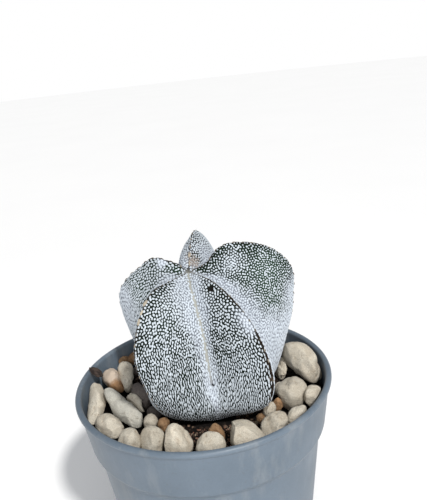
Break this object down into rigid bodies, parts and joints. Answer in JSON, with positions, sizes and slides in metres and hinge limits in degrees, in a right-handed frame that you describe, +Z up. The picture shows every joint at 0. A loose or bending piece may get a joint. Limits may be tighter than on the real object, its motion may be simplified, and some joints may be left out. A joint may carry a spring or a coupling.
{
  "type": "potted bishops cap cactus",
  "caption": "Five-ribbed bishop's cap cactus, pale flecked skin, in a round plastic nursery pot top-dressed with pebbles; stands on its base.",
  "frame": {"origin": "centre of the pot's base, on the surface it stands on", "axes": "+Z up along the pot's axis; -Y towards the side seen from the front, with +X to its right"},
  "size_m": [0.085, 0.085, 0.1149],
  "materials": {
    "pot_plastic": "smooth blue-grey injection-moulded plastic, soft satin",
    "soil": "dark crumbly peat potting soil with a little tan grit",
    "cactus_skin": "dark green skin thickly covered with white woolly flecks",
    "pebble_cream": "matte cream limestone pebble",
    "pebble_grey": "matte greenish-grey pebble",
    "pebble_rust": "matte rust-brown pebble",
    "pebble_dark": "matte dark grey-brown pebble",
    "bark": "dark brown bark splinter"
  },
  "bodies": {
    "root": {"bark_splinter": "bark", "cactus_body": "cactus_skin", "pebble_cream_01": "pebble_cream", "pebble_cream_04": "pebble_cream", "pebble_cream_05": "pebble_cream", "pebble_cream_07": "pebble_cream", "pebble_cream_08": "pebble_cream", "pebble_cream_09": "pebble_cream", "pebble_cream_10": "pebble_cream", "pebble_cream_12": "pebble_cream", "pebble_cream_13": "pebble_cream", "pebble_cream_15": "pebble_cream", "pebble_cream_17": "pebble_cream", "pebble_cream_18": "pebble_cream", "pebble_cream_19": "pebble_cream", "pebble_cream_20": "pebble_cream", "pebble_cream_21": "pebble_cream", "pebble_cream_22": "pebble_cream", "pebble_cream_23": "pebble_cream", "pebble_cream_24": "pebble_cream", "pebble_cream_31": "pebble_cream", "pebble_cream_32": "pebble_cream", "pebble_cream_33": "pebble_cream", "pebble_cream_35": "pebble_cream", "pebble_cream_37": "pebble_cream", "pebble_cream_38": "pebble_cream", "pebble_cream_41": "pebble_cream", "pebble_cream_42": "pebble_cream", "pebble_cream_43": "pebble_cream", "pebble_dark_25": "pebble_dark", "pebble_dark_26": "pebble_dark", "pebble_dark_27": "pebble_dark", "pebble_grey_06": "pebble_grey", "pebble_grey_30": "pebble_grey", "pebble_grey_39": "pebble_grey", "pebble_rust_02": "pebble_rust", "pebble_rust_03": "pebble_rust", "pebble_rust_11": "pebble_rust", "pebble_rust_14": "pebble_rust", "pebble_rust_16": "pebble_rust", "pebble_rust_28": "pebble_rust", "pebble_rust_29": "pebble_rust", "pebble_rust_34": "pebble_rust", "pebble_rust_36": "pebble_rust", "pebble_rust_40": "pebble_rust", "pot": "pot_plastic", "soil": "soil"}
  },
  "joints": []
}
